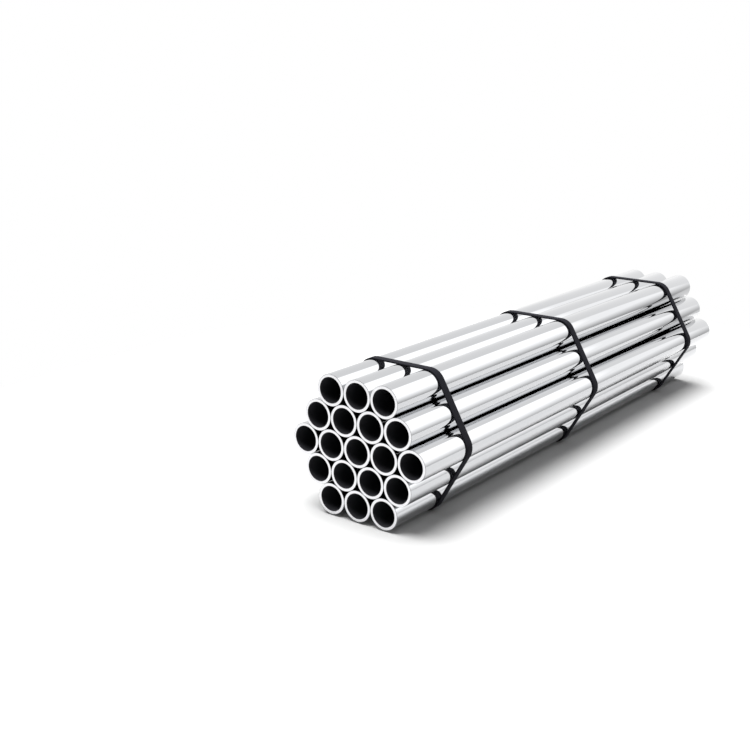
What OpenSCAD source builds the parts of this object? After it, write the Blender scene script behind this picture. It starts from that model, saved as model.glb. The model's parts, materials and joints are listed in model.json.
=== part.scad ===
// Strapped hexagonal bundle of nineteen round steel pipes.
// The pipes lie along X in five nested rows of 3, 4, 5, 4 and 3, and three flat straps
// run round the outer twelve. The straps' undersides are the floor, at z = 0, and the
// origin is below the middle of the bundle.

/* [Pipes] */
// Outside diameter of each pipe
pipe_od = 57; // [42:0.5:63.5]
// Wall thickness of each pipe
pipe_wall = 5.5; // [2:0.5:8]
// Length of each pipe
pipe_length = 1175; // [900:25:1500]
// Chamfer left by deburring the sawn ends, inside and outside
edge_break = 0.4; // [0.2:0.1:0.6]
// Clearance between neighbouring pipes
pipe_gap = 0.3; // [0.2:0.1:1]

/* [Straps] */
// Width of each strap, along the pipes
strap_width = 16; // [12:1:32]
// Thickness of the strap material
strap_thickness = 2.7; // [0.8:0.1:3]
// Clearance between a strap and the pipes under it
strap_clearance = 0.1; // [0.1:0.1:0.3]
// Distance from each end of the bundle to the middle of the nearest strap
strap_inset = 127; // [60:1:240]
// Length of the doubled stretch where a strap's two ends are welded together
weld_overlap = 36; // [20:2:60]

/* [Hidden] */
// Pipes in each row, from the bottom row up
ROW_COUNTS = [3, 4, 5, 4, 3];
MIDDLE_ROW = 2;
// Corners of the hexagon that the outer pipes form
CORNERS = 6;
CORNER_STEP = 360 / CORNERS;
// Direction in which the side that carries the weld faces, up from +Y
WELD_ANGLE = CORNER_STEP / 2;

STRAP_NAMES = ["strap_near", "strap_middle", "strap_far"];
function pipe_name(row, place) = str("pipe_row", row + 1, "_", place + 1);

$fn = 96;
pipe_r = pipe_od / 2;
bore_r = pipe_r - pipe_wall;
pitch = pipe_od + pipe_gap;
row_rise = pitch * sin(60);
strap_inner_r = pipe_r + strap_clearance;
strap_outer_r = strap_inner_r + strap_thickness;
// Straight stretch of strap between two corner pipes, and also the hexagon's radius
strap_run = MIDDLE_ROW * pitch;
// Height of the bundle's axis above the floor
axis_z = strap_outer_r + MIDDLE_ROW * row_rise;
strap_x = [-pipe_length / 2 + strap_inset, 0, pipe_length / 2 - strap_inset];

// Wall of a pipe, turned about its axis, with both ends deburred
module pipe_tube() {
    profile = [
        [bore_r, edge_break],
        [bore_r + edge_break, 0],
        [pipe_r - edge_break, 0],
        [pipe_r, edge_break],
        [pipe_r, pipe_length - edge_break],
        [pipe_r - edge_break, pipe_length],
        [bore_r + edge_break, pipe_length],
        [bore_r, pipe_length - edge_break]
    ];
    color("#d4d5d8")
        rotate([0, 90, 0])
            rotate_extrude()
                polygon(profile);
}

// One pipe, in its place in the bundle
module pipe(row, place) {
    across = ((ROW_COUNTS[row] - 1) / 2 - place) * pitch;
    up = (row - MIDDLE_ROW) * row_rise;
    translate([-pipe_length / 2, across, axis_z + up])
        pipe_tube();
}

// Filled outline of a band pulled tight round six corner circles of radius r
module taut_outline(r) {
    touch_points = [
        for (corner = [0:CORNERS - 1], side = [-1, 1])
            let (out = corner * CORNER_STEP, touch = out + side * CORNER_STEP / 2)
                strap_run * [cos(out), sin(out)] + r * [cos(touch), sin(touch)]
    ];
    polygon(touch_points);
    for (corner = [0:CORNERS - 1])
        rotate(corner * CORNER_STEP)
            translate([strap_run, 0])
                circle(r);
}

// Section of the stretch where the strap's two ends lie one on the other
module weld_outline() {
    rotate(WELD_ANGLE)
        translate([strap_run * cos(CORNER_STEP / 2) + strap_inner_r, -weld_overlap / 2])
            square([2 * strap_thickness, weld_overlap]);
}

// One closed strap, with its middle at x
module strap(x) {
    color("#2e2e32")
        translate([x - strap_width / 2, 0, axis_z])
            rotate([90, 0, 90])
                linear_extrude(strap_width) {
                    difference() {
                        taut_outline(strap_outer_r);
                        taut_outline(strap_inner_r);
                    }
                    weld_outline();
                }
}

for (row = [0:len(ROW_COUNTS) - 1], place = [0:ROW_COUNTS[row] - 1])
    pipe(row, place);
for (i = [0:len(STRAP_NAMES) - 1])
    strap(strap_x[i]);
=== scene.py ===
"""Looks of a strapped hexagonal bundle of mirror-polished steel pipes.

The pipes and straps are rebuilt at the places and sizes that the frame gives, with round
walls, broken edges and rounded strap edges, and get their finishes. A pale floor, soft
light and a camera complete the studio.
"""

import json
import logging
import math
from dataclasses import dataclass, field
from enum import Enum
from typing import Any, Iterable, Optional

import bmesh
import bpy
from mathutils import Matrix, Vector


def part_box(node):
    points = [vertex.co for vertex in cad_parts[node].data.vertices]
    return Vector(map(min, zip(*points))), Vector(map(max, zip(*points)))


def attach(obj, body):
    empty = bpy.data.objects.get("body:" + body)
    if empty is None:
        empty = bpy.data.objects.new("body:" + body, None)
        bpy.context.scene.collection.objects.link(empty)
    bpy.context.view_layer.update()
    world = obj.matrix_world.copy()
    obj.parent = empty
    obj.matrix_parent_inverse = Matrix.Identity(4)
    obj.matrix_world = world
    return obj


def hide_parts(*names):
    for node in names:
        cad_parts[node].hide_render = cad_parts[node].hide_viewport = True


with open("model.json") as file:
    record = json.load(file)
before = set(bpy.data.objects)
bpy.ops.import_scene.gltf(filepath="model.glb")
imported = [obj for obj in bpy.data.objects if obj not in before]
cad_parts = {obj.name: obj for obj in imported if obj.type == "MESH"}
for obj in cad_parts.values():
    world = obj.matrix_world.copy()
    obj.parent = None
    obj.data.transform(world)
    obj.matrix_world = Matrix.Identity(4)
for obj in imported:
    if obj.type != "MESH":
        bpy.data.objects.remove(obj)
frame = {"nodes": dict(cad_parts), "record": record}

LOG = logging.getLogger("pipe_bundle")
MM = 0.001
ROOT_BODY = "root"
UV_NAME = "surface_m"
WHOLE_TURN = 2 * math.pi
# Distance that counts as none
TOUCH = 0.01 * MM
# Angle in radians between the faces at an edge that gets rounded
SQUARE_EDGE = 1.0
# Bevel profile of a round edge
ROUND_PROFILE = 0.5
# Scale at which a wave texture has very nearly one band in each unit of its coordinates
WAVE_SCALE = 1 / math.pi


class Slot(Enum):
    """Material slots of the record that the pieces take their finish from."""

    STEEL = "polished_steel"
    STRAP = "strap_plastic"


class PipeFace(Enum):
    """Places of a pipe's four finishes in its material list."""

    OUTSIDE = 0
    CUT_END = 1
    BORE = 2
    EDGE = 3


class StrapFace(Enum):
    """Places of a strap's two finishes in its material list."""

    OUTSIDE = 0
    INSIDE = 1


def linear_colour(hex_code: str) -> tuple[float, float, float, float]:
    """Turns an sRGB hex colour into linear values, by the standard's formula.

    Args:
        hex_code: Colour such as "#d8d8da".

    Returns:
        Red, green, blue and an alpha of one.
    """
    channels = []
    for start in (1, 3, 5):
        value = int(hex_code[start:start + 2], 16) / 255
        channels.append(value / 12.92 if value <= 0.04045 else ((value + 0.055) / 1.055) ** 2.4)
    return (*channels, 1.0)


def add_node(
    tree: bpy.types.NodeTree,
    kind: str,
    settings: Optional[dict[str, Any]] = None,
    inputs: Optional[dict[str, Any]] = None,
) -> bpy.types.Node:
    """Adds a node, sets it up and links it.

    Args:
        tree: Node tree that takes the node.
        kind: Type name of the node.
        settings: Node properties by name.
        inputs: Values or output sockets by the name or number of the input.

    Returns:
        The new node.
    """
    node = tree.nodes.new(kind)
    for name, value in (settings or {}).items():
        setattr(node, name, value)
    for name, value in (inputs or {}).items():
        if isinstance(value, bpy.types.NodeSocket):
            tree.links.new(value, node.inputs[name])
        else:
            node.inputs[name].default_value = value
    return node


def new_material(name: str) -> tuple[bpy.types.Material, bpy.types.NodeTree]:
    """Makes an empty node material.

    Args:
        name: Name of the material.

    Returns:
        The material and its cleared node tree.
    """
    material = bpy.data.materials.new(name)
    material.use_nodes = True
    material.node_tree.nodes.clear()
    return material, material.node_tree


def surface_point(
    tree: bpy.types.NodeTree, metres_per_turn: tuple[float, float]
) -> bpy.types.NodeSocket:
    """Scales the piece's own surface coordinates, which are in metres.

    Args:
        tree: Node tree of the material.
        metres_per_turn: Real size of one pattern repeat, round the piece and along it.

    Returns:
        The coordinates, in pattern repeats.
    """
    uv = add_node(tree, "ShaderNodeUVMap", {"uv_map": UV_NAME})
    scale = (1 / metres_per_turn[0], 1 / metres_per_turn[1], 1.0)
    mapping = add_node(tree, "ShaderNodeMapping", None, {"Vector": uv.outputs["UV"], "Scale": scale})
    return mapping.outputs["Vector"]


def surface_noise(
    tree: bpy.types.NodeTree, metres_per_turn: tuple[float, float], octaves: float
) -> bpy.types.NodeSocket:
    """Lays soft noise on the piece's own surface.

    Args:
        tree: Node tree of the material.
        metres_per_turn: Size of the noise's patches, round the piece and along it.
        octaves: Number of finer noises laid over it, each half the size of the last.

    Returns:
        The noise, mostly from 0.3 to 0.7.
    """
    point = surface_point(tree, metres_per_turn)
    settings = {"noise_dimensions": "2D"}
    inputs = {"Vector": point, "Scale": 1.0, "Detail": octaves}
    return add_node(tree, "ShaderNodeTexNoise", settings, inputs).outputs["Fac"]


def mottled_colour(
    tree: bpy.types.NodeTree, noise: bpy.types.NodeSocket, colours: tuple[str, str]
) -> bpy.types.NodeSocket:
    """Varies a colour between two others.

    Args:
        tree: Node tree of the material.
        noise: Share of the second colour.
        colours: The two colours in hex.

    Returns:
        The colour.
    """
    # A colour mix takes its colours at inputs 6 and 7 and gives its result at output 2
    inputs = {"Factor": noise, 6: linear_colour(colours[0]), 7: linear_colour(colours[1])}
    return add_node(tree, "ShaderNodeMix", {"data_type": "RGBA"}, inputs).outputs[2]


def bump_normal(
    tree: bpy.types.NodeTree, height: bpy.types.NodeSocket, depth: float
) -> bpy.types.NodeSocket:
    """Turns a height pattern into shading normals.

    Args:
        tree: Node tree of the material.
        height: The pattern, from 0 to 1.
        depth: Its depth in metres.

    Returns:
        The normals.
    """
    inputs = {"Height": height, "Distance": depth, "Strength": 1.0}
    return add_node(tree, "ShaderNodeBump", None, inputs).outputs["Normal"]


def value_band(
    tree: bpy.types.NodeTree,
    value: bpy.types.NodeSocket,
    low: tuple[float, float],
    high: tuple[float, float],
) -> bpy.types.NodeSocket:
    """Changes evenly from one value to another, and stays level beyond them.

    Args:
        tree: Node tree of the material or world.
        value: What the change follows.
        low: Value and result at the start.
        high: Value and result at the end.

    Returns:
        The result.
    """
    inputs = {
        "Value": value,
        "From Min": low[0],
        "From Max": high[0],
        "To Min": low[1],
        "To Max": high[1],
    }
    return add_node(tree, "ShaderNodeMapRange", None, inputs).outputs["Result"]


def finish_shader(tree: bpy.types.NodeTree, inputs: dict[str, Any]) -> None:
    """Closes a material with a principled shader.

    Args:
        tree: Node tree of the material.
        inputs: Values or sockets of the shader's inputs.
    """
    shader = add_node(tree, "ShaderNodeBsdfPrincipled", None, inputs)
    add_node(tree, "ShaderNodeOutputMaterial", None, {"Surface": shader.outputs["BSDF"]})


@dataclass(frozen=True)
class MirrorPolishedStainless:
    """Austenitic stainless tube, belt-ground round its axis and buffed to a mirror.

    The eye gets sharp reflections of the studio, thinly veiled by the rings of the polish
    and bent a little by the waviness that the straightening rolls leave.
    """

    colour: str = "#c3c4c6"
    roughness_low: float = 0.02
    roughness_high: float = 0.05
    # The polish leaves rings about 0.1 mm apart, drawn coarser here
    ring_pitch: float = 0.5 * MM
    ring_length: float = 30 * MM
    ring_octaves: float = 2.0
    noise_low: float = 0.3
    noise_high: float = 0.75
    wave_length: float = 90 * MM
    wave_octaves: float = 0.0
    wave_height: float = 0.01 * MM

    def material(self) -> bpy.types.Material:
        """Builds the node material.

        Returns:
            The material.
        """
        material, tree = new_material("mirror_polished_stainless")
        rings = surface_noise(tree, (self.ring_length, self.ring_pitch), self.ring_octaves)
        low = (self.noise_low, self.roughness_low)
        high = (self.noise_high, self.roughness_high)
        waves = surface_noise(tree, (self.wave_length, self.wave_length), self.wave_octaves)
        finish_shader(
            tree,
            {
                "Base Color": linear_colour(self.colour),
                "Metallic": 1.0,
                "Roughness": value_band(tree, rings, low, high),
                "Normal": bump_normal(tree, waves, self.wave_height),
            },
        )
        return material


@dataclass(frozen=True)
class FacedSteelEnd:
    """Stainless steel, cut square and faced, with its edges broken.

    The tool leaves fine rings, so the cut ends are satin, without sharp
    reflections. Their colour is lighter than the polished outside of the same steel: painted light that
    brightens the cut ends.
    """

    # Lighter than the same steel on the outside: painted light on the cut ends
    colour: str = "#e2e2e4"
    roughness: float = 0.38
    # The tool leaves rings about 0.2 mm apart, drawn coarser here
    ring_pitch: float = 0.55 * MM
    ring_length: float = 40 * MM
    ring_octaves: float = 1.0
    ring_depth: float = 0.012 * MM

    def material(self) -> bpy.types.Material:
        """Builds the node material.

        Returns:
            The material.
        """
        material, tree = new_material("faced_stainless_end")
        rings = surface_noise(tree, (self.ring_length, self.ring_pitch), self.ring_octaves)
        finish_shader(
            tree,
            {
                # The lighter steel colour is painted light on the cut end
                "Base Color": linear_colour(self.colour),
                "Metallic": 1.0,
                "Roughness": self.roughness,
                "Normal": bump_normal(tree, rings, self.ring_depth),
            },
        )
        return material


@dataclass(frozen=True)
class FiledEdgePaintedShade:
    """Stainless steel where a file and a wire brush broke the saw's burr.

    The scratches run every way, so the edge is dull. Its dark grey colour, far darker than the steel,
    is painted shade: a dark line between the bright end and the mirror outside.
    """

    # Dark greys, far darker than the steel itself: painted shade that outlines each cut end
    colours: tuple[str, str] = ("#4c4c4f", "#6c6c70")
    roughness: float = 0.5
    scratch_size: float = 1.5 * MM
    scratch_octaves: float = 2.0

    def material(self) -> bpy.types.Material:
        """Builds the node material.

        Returns:
            The material.
        """
        material, tree = new_material("filed_edge_painted_shade")
        scratches = surface_noise(tree, (self.scratch_size, self.scratch_size), self.scratch_octaves)
        # The edge's dark painted shade, mottled by the scratches' noise
        colour = mottled_colour(tree, scratches, self.colours)
        finish_shader(tree, {"Base Color": colour, "Metallic": 1.0, "Roughness": self.roughness})
        return material


@dataclass(frozen=True)
class DarkMillBore:
    """Inside of the tube, left with the dark scale of the mill.

    It is nearly black, with a dull sheen just inside the mouth.
    """

    colours: tuple[str, str] = ("#232325", "#343438")
    roughness: float = 0.5
    specular: float = 0.1
    patch_width: float = 18 * MM
    patch_length: float = 72 * MM
    patch_octaves: float = 4.0

    def material(self) -> bpy.types.Material:
        """Builds the node material.

        Returns:
            The material.
        """
        material, tree = new_material("dark_mill_scale_bore")
        patches = surface_noise(tree, (self.patch_width, self.patch_length), self.patch_octaves)
        finish_shader(
            tree,
            {
                "Base Color": mottled_colour(tree, patches, self.colours),
                "Roughness": self.roughness,
                "Specular IOR Level": self.specular,
            },
        )
        return material


@dataclass(frozen=True)
class PolypropyleneStrapping:
    """Black extruded polypropylene strap, embossed with small diamonds by the rollers.

    The eye gets a charcoal band with a faint sheen that breaks up on the diamonds.
    """

    colour: str = "#202024"
    roughness: float = 0.55
    specular: float = 0.01
    diamond_pitch: float = 2.0 * MM
    diamond_turn: float = WHOLE_TURN / 8
    diamond_depth: float = 0.06 * MM

    def material(self) -> bpy.types.Material:
        """Builds the node material.

        Returns:
            The material.
        """
        material, tree = new_material("embossed_black_polypropylene")
        point = surface_point(tree, (self.diamond_pitch, self.diamond_pitch))
        heights = []
        for turn in (self.diamond_turn, -self.diamond_turn):
            turned = add_node(
                tree, "ShaderNodeMapping", None, {"Vector": point, "Rotation": (0.0, 0.0, turn)}
            )
            wave = add_node(
                tree,
                "ShaderNodeTexWave",
                {"wave_type": "BANDS", "bands_direction": "X", "wave_profile": "SIN"},
                {"Vector": turned.outputs["Vector"], "Scale": WAVE_SCALE, "Distortion": 0.0},
            )
            heights.append(wave.outputs["Fac"])
        diamonds = add_node(
            tree, "ShaderNodeMath", {"operation": "MULTIPLY"}, {0: heights[0], 1: heights[1]}
        )
        finish_shader(
            tree,
            {
                "Base Color": linear_colour(self.colour),
                "Roughness": self.roughness,
                "Specular IOR Level": self.specular,
                "Normal": bump_normal(tree, diamonds.outputs["Value"], self.diamond_depth),
            },
        )
        return material


@dataclass(frozen=True)
class StrapInsidePaintedLight:
    """Inner face of the strap, smooth from the extruder and coloured light grey.

    It only shows mirrored in the pipes, as a charcoal patch beside the strap. The light grey is painted
    light: it stands in for the light that the pipes mirror onto the strap's inside.
    """

    # Light greys, far lighter than the black strap: painted light on the strap's inside, standing in
    # for the light that the pipes mirror onto it
    colours: tuple[str, str] = ("#606066", "#78787e")
    roughness: float = 0.55
    specular: float = 0.01
    inside_mottle_width: float = 1.5 * MM
    inside_mottle_length: float = 25 * MM
    inside_mottle_octaves: float = 2.0

    def material(self) -> bpy.types.Material:
        """Builds the node material.

        Returns:
            The material.
        """
        material, tree = new_material("rubbed_black_polypropylene")
        inside_mottle = surface_noise(tree, (self.inside_mottle_width, self.inside_mottle_length), self.inside_mottle_octaves)
        # The base colour is the mottled painted light of the strap's inside
        finish_shader(
            tree,
            {
                "Base Color": mottled_colour(tree, inside_mottle, self.colours),
                "Roughness": self.roughness,
                "Specular IOR Level": self.specular,
            },
        )
        return material


def smooth_by_angle(mesh: bpy.types.Mesh, degrees: float) -> None:
    """Shades faces smoothly except across edges sharper than an angle.

    Args:
        mesh: Mesh to shade.
        degrees: Smallest angle of an edge that stays sharp.
    """
    mesh.shade_smooth()
    mesh.set_sharp_from_angle(angle=math.radians(degrees))


def finished_piece(
    name: str,
    shape: bmesh.types.BMesh,
    materials: Iterable[bpy.types.Material],
    node: str,
    sharp_degrees: float,
) -> bpy.types.Object:
    """Turns a bmesh into a piece that stands for a node of the frame.

    Args:
        name: Name of the piece.
        shape: Its shape in the frame's metres, which is freed.
        materials: Its materials in order.
        node: Node that it replaces.
        sharp_degrees: Smallest angle of an edge that stays sharp.

    Returns:
        The new object.
    """
    mesh = bpy.data.meshes.new(name)
    shape.to_mesh(mesh)
    shape.free()
    for material in materials:
        mesh.materials.append(material)
    smooth_by_angle(mesh, sharp_degrees)
    piece = bpy.data.objects.new(name, mesh)
    bpy.context.scene.collection.objects.link(piece)
    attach(piece, ROOT_BODY)
    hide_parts(node)
    LOG.info("%s: %d faces, stands for %s", name, len(mesh.polygons), node)
    return piece


def box_centre(node: str) -> Vector:
    """Middle of a node's box."""
    low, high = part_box(node)
    return (low + high) / 2


def box_size(node: str) -> Vector:
    """Size of a node's box."""
    low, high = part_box(node)
    return high - low


@dataclass
class SteelPipes:
    """The nineteen pipes, each a turned tube with broken edges.

    Attributes:
        nodes: Names of the pipes' nodes.
        bore_radius: Radius of the bores.
        segments: Sides of each tube.
        edge_break: Width of the rounding at the cut edges.
        edge_segments: Faces across that rounding.
        sharp_degrees: Smallest angle of an edge that stays sharp in the shading.
        materials: The finishes, in the order of PipeFace.
    """

    nodes: list[str]
    bore_radius: float
    segments: int = 160
    edge_break: float = 0.4 * MM
    edge_segments: int = 3
    sharp_degrees: float = 35.0
    materials: list[bpy.types.Material] = field(default_factory=list)

    def dress(self) -> None:
        """Makes the finishes, in the order of PipeFace."""
        finishes = (MirrorPolishedStainless(), FacedSteelEnd(), DarkMillBore(), FiledEdgePaintedShade())
        self.materials = [finish.material() for finish in finishes]

    def wall(self, length: float, outer_radius: float) -> bmesh.types.BMesh:
        """Turns a pipe's wall about the X axis.

        Args:
            length: Length of the pipe.
            outer_radius: Outside radius of the pipe.

        Returns:
            The tube, centred on the origin.
        """
        shape = bmesh.new()
        corners = [
            shape.verts.new((x, 0.0, radius))
            for x, radius in (
                (-length / 2, self.bore_radius),
                (-length / 2, outer_radius),
                (length / 2, outer_radius),
                (length / 2, self.bore_radius),
            )
        ]
        edges = [shape.edges.new((corners[i - 1], corners[i])) for i in range(len(corners))]
        bmesh.ops.spin(
            shape,
            geom=corners + edges,
            cent=(0.0, 0.0, 0.0),
            axis=(1.0, 0.0, 0.0),
            angle=WHOLE_TURN,
            steps=self.segments,
            use_merge=True,
            use_duplicate=False,
        )
        bmesh.ops.remove_doubles(shape, verts=shape.verts[:], dist=TOUCH)
        bmesh.ops.recalc_face_normals(shape, faces=shape.faces[:])
        rims = [
            edge
            for edge in shape.edges
            if abs(edge.verts[0].co.x - edge.verts[1].co.x) < TOUCH
            and edge.calc_face_angle(0.0) > SQUARE_EDGE
        ]
        bmesh.ops.bevel(
            shape,
            geom=rims,
            offset=self.edge_break,
            offset_type="OFFSET",
            segments=self.edge_segments,
            profile=ROUND_PROFILE,
            affect="EDGES",
            material=-1,
        )
        return shape

    def mark_faces(self, shape: bmesh.types.BMesh, length: float, outer_radius: float) -> None:
        """Gives each face its finish and its surface coordinates in metres.

        Args:
            shape: The tube, centred on the origin.
            length: Length of the pipe.
            outer_radius: Outside radius of the pipe.
        """
        uv_layer = shape.loops.layers.uv.new(UV_NAME)
        middle_radius = (self.bore_radius + outer_radius) / 2
        end_x = length / 2 - TOUCH
        for face in shape.faces:
            centre = face.calc_center_median()
            if math.hypot(centre.y, centre.z) < middle_radius and abs(centre.x) < end_x:
                kind = PipeFace.BORE
            elif abs(centre.x) > end_x:
                kind = PipeFace.CUT_END
            elif abs(centre.x) > end_x - self.edge_break:
                kind = PipeFace.EDGE
            else:
                kind = PipeFace.OUTSIDE
            face.material_index = kind.value
            face_turn = math.atan2(centre.y, centre.z)
            for loop in face.loops:
                x, y, z = loop.vert.co
                turn = math.atan2(y, z)
                turn += WHOLE_TURN * round((face_turn - turn) / WHOLE_TURN)
                along = math.hypot(y, z) if kind is PipeFace.CUT_END else x
                loop[uv_layer].uv = (turn * outer_radius, along)

    def build(self) -> None:
        """Makes every pipe where its node is."""
        for node in self.nodes:
            size = box_size(node)
            outer_radius = size.z / 2
            shape = self.wall(size.x, outer_radius)
            self.mark_faces(shape, size.x, outer_radius)
            bmesh.ops.translate(shape, verts=shape.verts[:], vec=box_centre(node))
            name = node.replace("pipe_", "steel_pipe_")
            finished_piece(name, shape, self.materials, node, self.sharp_degrees)


@dataclass
class TautStraps:
    """The closed straps, pulled straight from corner pipe to corner pipe.

    Attributes:
        nodes: Names of the straps' nodes.
        corner_distance: Distance of the corner pipes' axes from the bundle's axis.
        thickness: Thickness of the strap material.
        overlap: Length of the doubled stretch at the weld.
        corners: Number of the strap's bends.
        bend_steps: Faces along each bend.
        edge_round: Radius of the strap's long edges.
        edge_segments: Faces across that rounding.
        weld_length: Length of the stretch that the welding jaw pressed.
        weld_pitch: Distance between the ridges of the jaw.
        weld_depth: Depth of the grooves that they leave.
        inward: Cosine to the outward direction below which a face counts as inside.
        sharp_degrees: Smallest angle of an edge that stays sharp in the shading.
        materials: The finishes, in the order of StrapFace.
    """

    nodes: list[str]
    corner_distance: float
    thickness: float = 2.7 * MM
    overlap: float = 36 * MM
    corners: int = 6
    bend_steps: int = 11
    edge_round: float = 0.35 * MM
    edge_segments: int = 3
    weld_length: float = 24 * MM
    weld_pitch: float = 2.0 * MM
    weld_depth: float = 0.3 * MM
    inward: float = -0.8
    sharp_degrees: float = 40.0
    materials: list[bpy.types.Material] = field(default_factory=list)

    def dress(self) -> None:
        """Makes the finishes, in the order of StrapFace."""
        self.materials = [PolypropyleneStrapping().material(), StrapInsidePaintedLight().material()]

    def corner(self, number: int) -> Vector:
        """Place of a corner pipe's axis about the bundle's axis, counted round from +Y."""
        turn = number * WHOLE_TURN / self.corners
        return Vector((0.0, math.cos(turn), math.sin(turn))) * self.corner_distance

    def band(self, width: float, outer_radius: float) -> bmesh.types.BMesh:
        """Sweeps the strap's section round the corner pipes.

        Args:
            width: Width of the strap.
            outer_radius: Radius of its outer face at a corner.

        Returns:
            The closed band about the X axis.
        """
        shape = bmesh.new()
        step = WHOLE_TURN / self.corners
        start = self.corner(0)
        out = Matrix.Rotation(-step / 2, 3, "X") @ Vector((0.0, 1.0, 0.0))
        section = [
            shape.verts.new(start + out * radius + Vector((x, 0.0, 0.0)))
            for x, radius in (
                (-width / 2, outer_radius - self.thickness),
                (width / 2, outer_radius - self.thickness),
                (width / 2, outer_radius),
                (-width / 2, outer_radius),
            )
        ]
        ring: list[Any] = [shape.edges.new((section[i - 1], section[i])) for i in range(len(section))]
        for number in range(self.corners):
            turned = bmesh.ops.spin(
                shape,
                geom=ring,
                cent=self.corner(number),
                axis=(1.0, 0.0, 0.0),
                angle=step,
                steps=self.bend_steps,
            )
            ring = [item for item in turned["geom_last"] if isinstance(item, bmesh.types.BMEdge)]
            pulled = bmesh.ops.extrude_edge_only(shape, edges=ring)
            ring = [
                item
                for item in pulled["geom"]
                if isinstance(item, bmesh.types.BMEdge)
                and item.calc_length() < width + TOUCH
                and self.is_free(item)
            ]
            moved = list({vert for edge in ring for vert in edge.verts})
            bmesh.ops.translate(shape, verts=moved, vec=self.corner(number + 1) - self.corner(number))
        bmesh.ops.remove_doubles(shape, verts=shape.verts[:], dist=TOUCH)
        bmesh.ops.recalc_face_normals(shape, faces=shape.faces[:])
        return shape

    @staticmethod
    def is_free(edge: bmesh.types.BMEdge) -> bool:
        """Whether an edge has a face on one side only."""
        return len(edge.link_faces) == 1

    def build(self) -> None:
        """Makes every strap where its node is."""
        for node in self.nodes:
            size = box_size(node)
            flat_distance = self.corner_distance * math.cos(math.pi / self.corners)
            outer_radius = size.z / 2 - flat_distance
            shape = self.band(size.x, outer_radius)
            long_edges = [edge for edge in shape.edges if edge.calc_face_angle(0.0) > SQUARE_EDGE]
            bmesh.ops.bevel(
                shape,
                geom=long_edges,
                offset=self.edge_round,
                offset_type="OFFSET",
                segments=self.edge_segments,
                profile=ROUND_PROFILE,
                affect="EDGES",
                material=-1,
            )
            self.mark_faces(shape, outer_radius)
            self.add_weld(shape, size.x, outer_radius)
            bmesh.ops.translate(shape, verts=shape.verts[:], vec=box_centre(node))
            name = node.replace("strap_", "strapping_")
            finished_piece(name, shape, self.materials, node, self.sharp_degrees)

    def path_place(self, y: float, z: float, outer_radius: float) -> float:
        """Distance along the strap of a point on it, from the middle of corner 0's bend.

        Args:
            y: Place of the point across the bundle.
            z: Place of the point up from the bundle's axis.
            outer_radius: Radius of the strap's outer face at a corner.

        Returns:
            The distance in metres.
        """
        step = WHOLE_TURN / self.corners
        bend = step * (outer_radius - self.thickness / 2)
        turn = math.atan2(z, y) % WHOLE_TURN
        number = int(turn / step + 0.5)
        offset = Vector((0.0, y, z)) - self.corner(number)
        lean = math.atan2(offset.z, offset.y) - number * step
        lean -= WHOLE_TURN * round(lean / WHOLE_TURN)
        if abs(lean) <= step / 2:
            return number * (self.corner_distance + bend) + lean * (outer_radius - self.thickness / 2)
        side = 1 if lean > 0 else -1
        run = Matrix.Rotation(number * step + side * step / 2, 3, "X") @ Vector((0.0, 0.0, 1.0))
        return number * (self.corner_distance + bend) + side * bend / 2 + offset.dot(run)

    def mark_faces(self, shape: bmesh.types.BMesh, outer_radius: float) -> None:
        """Gives each face its finish and its surface coordinates in metres.

        Args:
            shape: The band about the X axis.
            outer_radius: Radius of its outer face at a corner.
        """
        uv_layer = shape.loops.layers.uv.new(UV_NAME)
        bend = WHOLE_TURN / self.corners * (outer_radius - self.thickness / 2)
        whole = self.corners * (self.corner_distance + bend)
        shape.normal_update()
        for face in shape.faces:
            centre = face.calc_center_median()
            outward = Vector((0.0, centre.y, centre.z)).normalized()
            kind = StrapFace.INSIDE if face.normal.dot(outward) < self.inward else StrapFace.OUTSIDE
            face.material_index = kind.value
            here = self.path_place(centre.y, centre.z, outer_radius)
            for loop in face.loops:
                x, y, z = loop.vert.co
                place = self.path_place(y, z, outer_radius)
                place += whole * round((here - place) / whole)
                loop[uv_layer].uv = (x, place)

    def add_weld(self, shape: bmesh.types.BMesh, width: float, outer_radius: float) -> None:
        """Lays the strap's free end on the band, pressed into ridges where it is welded.

        Args:
            shape: The band about the X axis.
            width: Width of the strap.
            outer_radius: Radius of its outer face at a corner.
        """
        uv_layer = shape.loops.layers.uv[UV_NAME]
        step = WHOLE_TURN / self.corners
        bottom = self.corner_distance * math.cos(step / 2) + outer_radius
        top = bottom + self.thickness
        ridge_count = int(self.weld_length / self.weld_pitch)
        outline = [(-self.overlap / 2, top), (-self.weld_length / 2, top)]
        for ridge in range(ridge_count):
            at = -self.weld_length / 2 + (ridge + 0.5) * self.weld_pitch
            outline.append((at, top - self.weld_depth))
            outline.append((at + self.weld_pitch / 2, top))
        outline += [(self.overlap / 2, top), (self.overlap / 2, bottom), (-self.overlap / 2, bottom)]
        verts = [shape.verts.new((-width / 2, -along, out)) for along, out in outline]
        side = shape.faces.new(verts)
        pulled = bmesh.ops.extrude_face_region(shape, geom=[side])
        moved = [item for item in pulled["geom"] if isinstance(item, bmesh.types.BMVert)]
        bmesh.ops.translate(shape, verts=moved, vec=(width, 0.0, 0.0))
        faces = list({face for vert in verts + moved for face in vert.link_faces})
        bmesh.ops.recalc_face_normals(shape, faces=faces)
        for face in faces:
            for loop in face.loops:
                loop[uv_layer].uv = (loop.vert.co.x, loop.vert.co.y)
        turn = Matrix.Rotation(step / 2 - math.pi / 2, 3, "X")
        bmesh.ops.rotate(shape, verts=verts + moved, cent=(0.0, 0.0, 0.0), matrix=turn)


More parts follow.
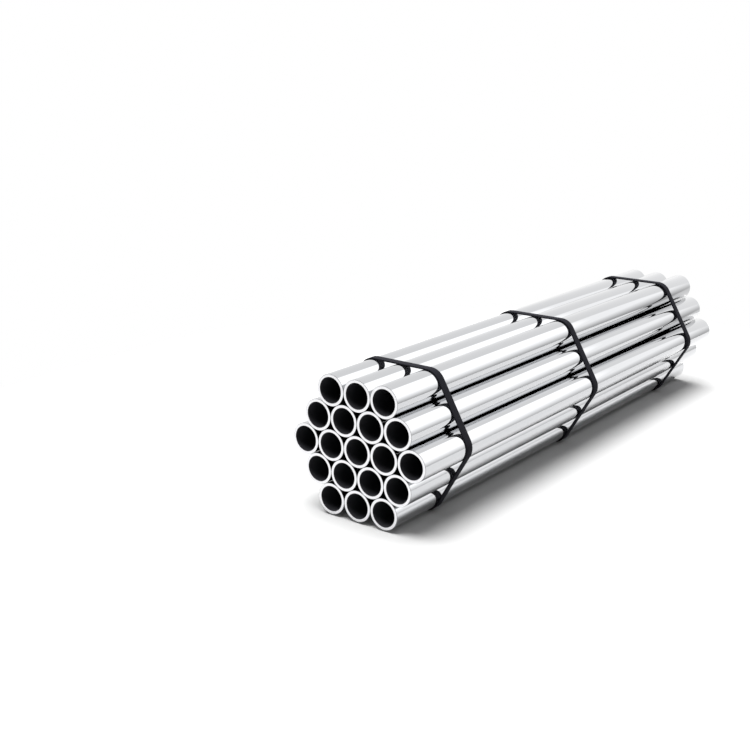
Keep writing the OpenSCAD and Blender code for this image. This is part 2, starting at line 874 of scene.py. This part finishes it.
@dataclass
class Studio:
    """Floor, surroundings, light and camera.

    The walls are pale grey, dimmer behind the camera, with two brighter panels that face
    each other across the bundle. Brightness counts white paper in full light as 1. An
    overhead light, too wide and even to show in the pipes, brightens the floor. Matt
    surfaces get only a part of the surroundings' light, which deepens the shadow.

    Attributes:
        floor_radius: Radius of the round floor.
        floor_front: Its reach in front of the near end, where the cut ends mirror it.
        floor_sides: Sides of its outline.
        floor_colour: Its colour.
        floor_roughness: Its roughness.
        floor_specular: Strength of its sheen.
        panel_azimuth: Direction of one panel's middle, in degrees from +Y towards +X.
        panel_half_width: Half of the angle that a panel spans, in degrees.
        panel_edge: Softness of a panel's far upright edge, in degrees.
        panel_near_edge: Softness of its upright edge on the camera's side, in degrees.
        wall_brightness: Brightness of the wall beyond the bundle, between the panels.
        camera_wall_brightness: Brightness of the wall behind the camera.
        wall_blend: Half of the width, as a sine, over which one side passes into the other.
        wall_foot: Part of a wall's brightness that is left below the horizon.
        wall_foot_depth: Sine of the elevation where a wall is darkest.
        panel_brightness: Brightness of a panel above panel_top.
        panel_foot_brightness: Its brightness at panel_foot and below.
        panel_foot: Sine of the elevation where a panel is darkest.
        panel_top: Sine of the elevation where a panel is brightest.
        far_brightness: Brightness of a panel's far part, beyond a slanting line.
        far_slope: Slope of that line.
        far_start: Place where the panel starts to dim towards its far part.
        far_end: Place where it is as dim as the far part.
        matt_share: Part of the surroundings' light that matt surfaces get.
        overhead_energy: Strength of the overhead light.
        overhead_direction: Direction in which its light travels.
        overhead_degrees: Angle that it spans as seen from the bundle.
        mirrorings: Times that light is followed from one bright pipe to the next.
        sensor_mm: Width of the camera's sensor.
        lens_mm: Focal length of the camera.
        camera_place: Where the camera stands.
        camera_aim: Point at which it looks.
    """

    floor_radius: float = 1.2
    floor_front: float = 2.4
    floor_sides: int = 180
    floor_colour: str = "#bcbcbc"
    floor_roughness: float = 0.9
    floor_specular: float = 0.1
    panel_azimuth: float = 148.0
    panel_half_width: float = 49.0
    panel_edge: float = 1.5
    panel_near_edge: float = 16.0
    wall_brightness: float = 1.15
    camera_wall_brightness: float = 0.5
    wall_blend: float = 0.3
    wall_foot: float = 0.76
    wall_foot_depth: float = -0.15
    panel_brightness: float = 1.95
    panel_foot_brightness: float = 0.5
    panel_foot: float = -0.2
    panel_top: float = 0.34
    far_brightness: float = 1.52
    far_slope: float = 0.9
    far_start: float = 0.244
    far_end: float = 0.324
    matt_share: float = 0.2
    overhead_energy: float = 7.2
    overhead_direction: Vector = field(default_factory=lambda: Vector((0.05, -0.12, -1.0)))
    overhead_degrees: float = 50.0
    mirrorings: int = 2
    sensor_mm: float = 36.0
    lens_mm: float = 55.23
    camera_place: Vector = field(default_factory=lambda: Vector((-2.0216, -1.1530, 0.8023)))
    camera_aim: Vector = field(default_factory=lambda: Vector((-0.2018, 0.2605, 0.1320)))

    def floor(self) -> None:
        """Lays a pale floor under the bundle, round behind it and long in front."""
        material, tree = new_material("matt_white_studio_floor")
        finish_shader(
            tree,
            {
                "Base Color": linear_colour(self.floor_colour),
                "Roughness": self.floor_roughness,
                "Specular IOR Level": self.floor_specular,
            },
        )
        shape = bmesh.new()
        bmesh.ops.create_circle(
            shape, cap_ends=True, segments=self.floor_sides, radius=self.floor_radius
        )
        for vert in shape.verts:
            if vert.co.x < 0:
                vert.co.x *= self.floor_front / self.floor_radius
        mesh = bpy.data.meshes.new("studio_floor")
        shape.to_mesh(mesh)
        shape.free()
        mesh.materials.append(material)
        floor = bpy.data.objects.new("studio_floor", mesh)
        bpy.context.scene.collection.objects.link(floor)

    @staticmethod
    def combined(
        tree: bpy.types.NodeTree, operation: str, first: Any, second: Any
    ) -> bpy.types.NodeSocket:
        """Two values or sockets, combined by a math operation."""
        inputs = {0: first, 1: second}
        return add_node(tree, "ShaderNodeMath", {"operation": operation}, inputs).outputs["Value"]

    @staticmethod
    def blended(tree: bpy.types.NodeTree, factor: Any, first: Any, second: Any) -> bpy.types.NodeSocket:
        """The first value where the factor is 0, and the second where it is 1."""
        inputs = {"Factor": factor, "A": first, "B": second}
        return add_node(tree, "ShaderNodeMix", {"data_type": "FLOAT"}, inputs).outputs["Result"]

    @staticmethod
    def towards(
        tree: bpy.types.NodeTree, direction: bpy.types.NodeSocket, azimuth: float
    ) -> bpy.types.NodeSocket:
        """Tells how far a view direction, seen from above, points towards an azimuth.

        Args:
            tree: Node tree of the world.
            direction: The view direction.
            azimuth: The azimuth in radians from +Y towards +X.

        Returns:
            The cosine of the angle between them.
        """
        level = add_node(
            tree, "ShaderNodeVectorMath", {"operation": "MULTIPLY"}, {0: direction, 1: (1.0, 1.0, 0.0)}
        )
        level = add_node(
            tree, "ShaderNodeVectorMath", {"operation": "NORMALIZE"}, {0: level.outputs["Vector"]}
        )
        middle = (math.sin(azimuth), math.cos(azimuth), 0.0)
        inputs = {0: level.outputs["Vector"], 1: middle}
        cosine = add_node(tree, "ShaderNodeVectorMath", {"operation": "DOT_PRODUCT"}, inputs)
        return cosine.outputs["Value"]

    def wall_light(
        self, tree: bpy.types.NodeTree, height: bpy.types.NodeSocket, beyond: bpy.types.NodeSocket
    ) -> bpy.types.NodeSocket:
        """Brightness of the walls.

        Args:
            tree: Node tree of the world.
            height: Sine of the elevation.
            beyond: Cosine of the angle to the wall beyond the bundle.

        Returns:
            The brightness.
        """
        near = (-self.wall_blend, self.camera_wall_brightness)
        far = (self.wall_blend, self.wall_brightness)
        foot = value_band(tree, height, (self.wall_foot_depth, self.wall_foot), (0.0, 1.0))
        return self.combined(tree, "MULTIPLY", value_band(tree, beyond, near, far), foot)

    def panel_light(
        self, tree: bpy.types.NodeTree, height: bpy.types.NodeSocket, beyond: bpy.types.NodeSocket
    ) -> bpy.types.NodeSocket:
        """Brightness of the panels, which rises with height and is capped in their far part.

        Args:
            tree: Node tree of the world.
            height: Sine of the elevation.
            beyond: Cosine of the angle to the wall beyond the bundle.

        Returns:
            The brightness.
        """
        foot = (self.panel_foot, self.panel_foot_brightness)
        top = (self.panel_top, self.panel_brightness)
        lift = self.combined(tree, "MULTIPLY", height, self.far_slope)
        slant = self.combined(tree, "SUBTRACT", beyond, lift)
        start = (self.far_start, self.panel_brightness)
        end = (self.far_end, self.far_brightness)
        rise = value_band(tree, height, foot, top)
        return self.combined(tree, "MINIMUM", rise, value_band(tree, slant, start, end))

    def panel_share(
        self, tree: bpy.types.NodeTree, across: bpy.types.NodeSocket, beyond: bpy.types.NodeSocket
    ) -> bpy.types.NodeSocket:
        """Tells the panels from the walls.

        Args:
            tree: Node tree of the world.
            across: Cosine of the angle to the middle of one panel.
            beyond: Cosine of the angle to the wall beyond the bundle.

        Returns:
            One on a panel, zero on a wall, and a share between them at the panel's edges.
        """
        bounds = []
        for side in (1, -1):
            near = math.cos(math.radians(self.panel_half_width + side * self.panel_near_edge))
            far = math.cos(math.radians(self.panel_half_width + side * self.panel_edge))
            low = (-self.wall_blend, near)
            high = (self.wall_blend, far)
            bounds.append(value_band(tree, beyond, low, high))
        facing = self.combined(tree, "ABSOLUTE", across, 0.0)
        settings = {"interpolation_type": "SMOOTHSTEP"}
        inputs = {"Value": facing, "From Min": bounds[0], "From Max": bounds[1]}
        return add_node(tree, "ShaderNodeMapRange", settings, inputs).outputs["Result"]

    def surroundings(self) -> None:
        """Surrounds the studio with the walls and panels, and shows the camera plain white."""
        world = bpy.data.worlds.new("studio_walls")
        world.use_nodes = True
        bpy.context.scene.world = world
        tree = world.node_tree
        tree.nodes.clear()
        direction = add_node(tree, "ShaderNodeTexCoord").outputs["Generated"]
        height = add_node(tree, "ShaderNodeSeparateXYZ", None, {"Vector": direction}).outputs["Z"]
        turn = math.radians(self.panel_azimuth)
        beyond = self.towards(tree, direction, turn - math.pi / 2)
        on_panel = self.panel_share(tree, self.towards(tree, direction, turn), beyond)
        wall = self.wall_light(tree, height, beyond)
        panel = self.panel_light(tree, height, beyond)
        ray = add_node(tree, "ShaderNodeLightPath")
        share = self.blended(tree, ray.outputs["Is Diffuse Ray"], 1.0, self.matt_share)
        around = self.combined(tree, "MULTIPLY", self.blended(tree, on_panel, wall, panel), share)
        seen = self.blended(tree, ray.outputs["Is Camera Ray"], around, 1.0)
        white = linear_colour("#ffffff")
        background = add_node(tree, "ShaderNodeBackground", None, {"Color": white, "Strength": seen})
        add_node(tree, "ShaderNodeOutputWorld", None, {"Surface": background.outputs["Background"]})

    def overhead_light(self) -> None:
        """Hangs the overhead light, which the pipes do not mirror."""
        data = bpy.data.lights.new("overhead_light", "SUN")
        data.energy = self.overhead_energy
        data.angle = math.radians(self.overhead_degrees)
        light = bpy.data.objects.new("overhead_light", data)
        light.rotation_mode = "QUATERNION"
        light.rotation_quaternion = self.overhead_direction.to_track_quat("-Z", "Y")
        light.visible_glossy = False
        bpy.context.scene.collection.objects.link(light)

    def camera(self) -> None:
        """Stands the camera before the bundle's near end, a little to its right."""
        data = bpy.data.cameras.new("camera")
        data.sensor_width = self.sensor_mm
        data.lens = self.lens_mm
        camera = bpy.data.objects.new("camera", data)
        camera.location = self.camera_place
        camera.rotation_mode = "QUATERNION"
        camera.rotation_quaternion = (self.camera_aim - self.camera_place).to_track_quat("-Z", "Y")
        bpy.context.scene.collection.objects.link(camera)
        bpy.context.scene.camera = camera

    def build(self) -> None:
        """Sets up the whole studio."""
        self.camera()
        self.floor()
        self.surroundings()
        self.overhead_light()
        bpy.context.scene.view_settings.view_transform = "Standard"
        bpy.context.scene.cycles.glossy_bounces = self.mirrorings


def main() -> None:
    """Builds the bundle and its studio."""
    logging.basicConfig(level=logging.INFO, format="%(name)s: %(message)s")
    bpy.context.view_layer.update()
    pipe_nodes = sorted(name for name in frame["nodes"] if name.startswith("pipe_"))
    strap_nodes = sorted(name for name in frame["nodes"] if name.startswith("strap_"))
    bores = [mount for mount in frame["record"]["mounts"] if mount["kind"] == "bore"]
    across = [box_centre(name).y for name in pipe_nodes]
    corner_distance = (max(across) - min(across)) / 2
    pipes = SteelPipes(pipe_nodes, bores[0]["dims"]["r_mm"] * MM)
    pipes.dress()
    pipes.build()
    straps = TautStraps(strap_nodes, corner_distance)
    straps.dress()
    straps.build()
    Studio().build()


if __name__ == "__main__":
    main()
